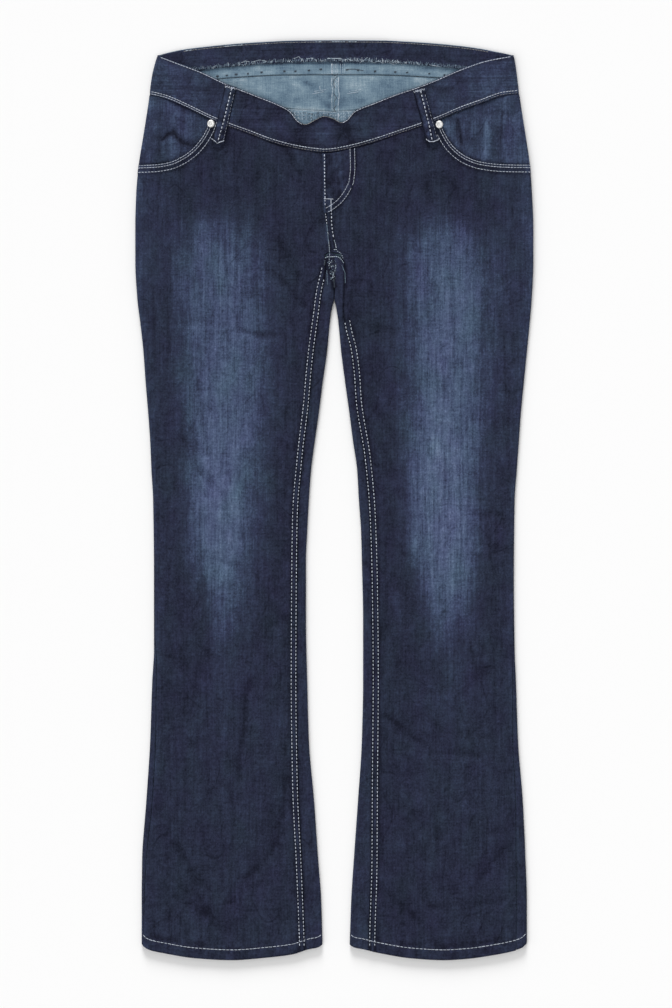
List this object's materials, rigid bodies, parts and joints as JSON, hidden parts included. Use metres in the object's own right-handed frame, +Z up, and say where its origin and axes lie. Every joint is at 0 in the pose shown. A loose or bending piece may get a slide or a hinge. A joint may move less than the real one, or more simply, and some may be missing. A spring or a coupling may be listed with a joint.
{
  "type": "bootcut jeans laid flat",
  "caption": "Low-fronted bootcut jeans in dark faded denim, laid flat with the front up: waistband, front pockets, mock fly, belt loops, yokes, back pockets and wide hems.",
  "frame": {"origin": "centre of the outline, on the surface that the jeans lie on", "axes": "+Y towards the waist, +Z up out of the front, +X towards the wearer's left"},
  "size_m": [0.47, 1.0861, 0.0099],
  "materials": {
    "denim": "matt indigo denim, faded down the thighs",
    "denim_inside": "matt pale inside of the denim, more weft than warp",
    "silver": "domed nickel rivet"
  },
  "bodies": {
    "root": {"back_panel_left": "denim", "back_panel_right": "denim", "back_pocket_left": "denim", "back_pocket_right": "denim", "back_waistband": "denim_inside", "back_waistband_facing": "denim", "back_yoke_left": "denim_inside", "back_yoke_right": "denim_inside", "belt_loop_back_left": "denim", "belt_loop_back_right": "denim", "belt_loop_front_left": "denim", "belt_loop_front_right": "denim", "front_panel_left": "denim", "front_panel_right": "denim", "front_waistband": "denim", "mock_fly": "denim", "pocket_facing_left": "denim", "pocket_facing_right": "denim", "rivet_left": "silver", "rivet_right": "silver"}
  },
  "joints": []
}
